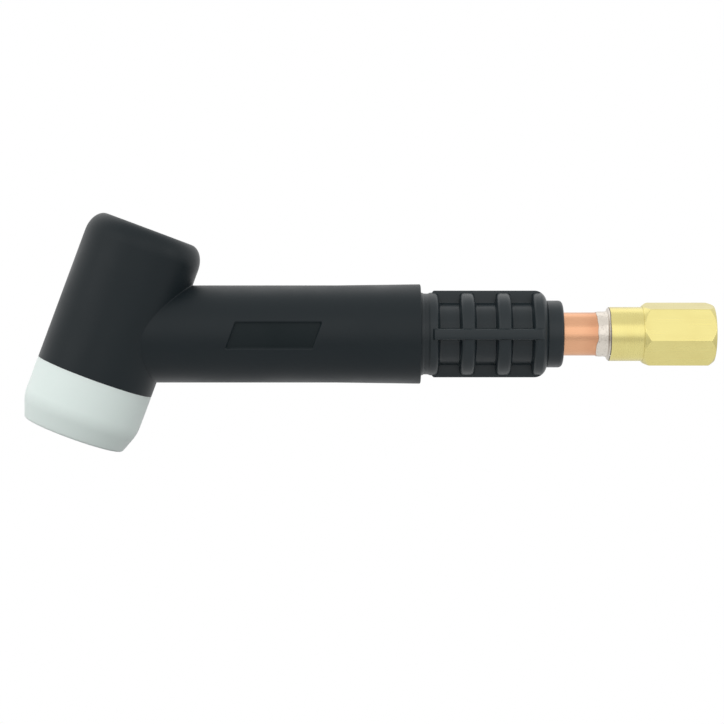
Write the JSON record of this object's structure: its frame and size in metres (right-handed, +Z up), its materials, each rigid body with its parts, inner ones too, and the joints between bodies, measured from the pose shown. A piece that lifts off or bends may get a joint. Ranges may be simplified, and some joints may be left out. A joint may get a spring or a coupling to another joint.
{
  "type": "tig torch body with flexible neck",
  "caption": "Gas-cooled TIG welding torch body with an angled head, white nose insulator, bendable neck, ribbed handle collar and brass hexagon cable inlet.",
  "frame": {"origin": "centre of the cable inlet's mouth, in the rear face of the brass hexagon", "axes": "+X rearwards out of the cable inlet, along the neck; +Z up, so the head leans in XZ with its nose down and forward; the head is at -X"},
  "size_m": [0.1522, 0.0264, 0.0528],
  "materials": {
    "silicone": "satin moulded silicone rubber",
    "collar_rubber": "satin moulded hard rubber",
    "ptfe": "turned white fluoropolymer",
    "copper": "drawn bare copper",
    "brass": "turned and milled free-cutting brass",
    "silver_braze": "as-flowed silver braze"
  },
  "bodies": {
    "rear": {"cable_fitting": "brass", "cable_braze": "silver_braze", "supply_tube": "copper", "handle_collar": "collar_rubber", "neck_sleeve": "silicone"},
    "neck_link_1": {"jacket_link_1": "silicone", "tube_link_1": "copper"},
    "neck_link_2": {"jacket_link_2": "silicone", "tube_link_2": "copper"},
    "neck_link_3": {"jacket_link_3": "silicone", "tube_link_3": "copper"},
    "neck_link_4": {"jacket_link_4": "silicone", "tube_link_4": "copper"},
    "neck_link_5": {"jacket_link_5": "silicone", "tube_link_5": "copper"},
    "neck_link_6": {"jacket_link_6": "silicone", "tube_link_6": "copper"},
    "neck_link_7": {"jacket_link_7": "silicone", "tube_link_7": "copper"},
    "neck_link_8": {"jacket_link_8": "silicone", "tube_link_8": "copper"},
    "head": {"neck_stub_tube": "copper", "head_braze": "silver_braze", "head_core": "brass", "head_jacket": "silicone", "nose_insulator": "ptfe"}
  },
  "joints": [
    {"name": "neck_pitch_1", "type": "hinge", "parent": "rear", "child": "neck_link_1", "pos_m": [-0.0832, 0, 0], "axis": [0, 1, 0.0009], "range_deg": [-10.8, 8.4]},
    {"name": "neck_yaw_1", "type": "hinge", "parent": "neck_link_1", "child": "neck_link_2", "pos_m": [-0.0868, 0, 0], "axis": [0, -0.0009, 1], "range_deg": [-11.25, 11.25]},
    {"name": "neck_pitch_2", "type": "hinge", "parent": "neck_link_2", "child": "neck_link_3", "pos_m": [-0.0904, 0, 0], "axis": [0, 1, 0.0009], "range_deg": [-10.8, 8.4]},
    {"name": "neck_yaw_2", "type": "hinge", "parent": "neck_link_3", "child": "neck_link_4", "pos_m": [-0.094, 0, 0], "axis": [0, -0.0009, 1], "range_deg": [-11.25, 11.25]},
    {"name": "neck_pitch_3", "type": "hinge", "parent": "neck_link_4", "child": "neck_link_5", "pos_m": [-0.0976, 0, 0], "axis": [0, 1, 0.0009], "range_deg": [-10.8, 8.4]},
    {"name": "neck_yaw_3", "type": "hinge", "parent": "neck_link_5", "child": "neck_link_6", "pos_m": [-0.1012, 0, 0], "axis": [0, -0.0009, 1], "range_deg": [-11.25, 11.25]},
    {"name": "neck_pitch_4", "type": "hinge", "parent": "neck_link_6", "child": "neck_link_7", "pos_m": [-0.1048, 0, 0], "axis": [0, 1, 0.0009], "range_deg": [-10.8, 8.4]},
    {"name": "neck_yaw_4", "type": "hinge", "parent": "neck_link_7", "child": "neck_link_8", "pos_m": [-0.1084, 0, 0], "axis": [0, -0.0009, 1], "range_deg": [-11.25, 11.25]},
    {"name": "neck_pitch_5", "type": "hinge", "parent": "neck_link_8", "child": "head", "pos_m": [-0.112, 0, 0], "axis": [0, 1, 0.0009], "range_deg": [-10.8, 8.4]}
  ],
  "couplings": [
    {"joint": "neck_pitch_2", "follows": "neck_pitch_1", "ratio": 1},
    {"joint": "neck_yaw_2", "follows": "neck_yaw_1", "ratio": 1},
    {"joint": "neck_pitch_3", "follows": "neck_pitch_1", "ratio": 1},
    {"joint": "neck_yaw_3", "follows": "neck_yaw_1", "ratio": 1},
    {"joint": "neck_pitch_4", "follows": "neck_pitch_1", "ratio": 1},
    {"joint": "neck_yaw_4", "follows": "neck_yaw_1", "ratio": 1},
    {"joint": "neck_pitch_5", "follows": "neck_pitch_1", "ratio": 1}
  ]
}
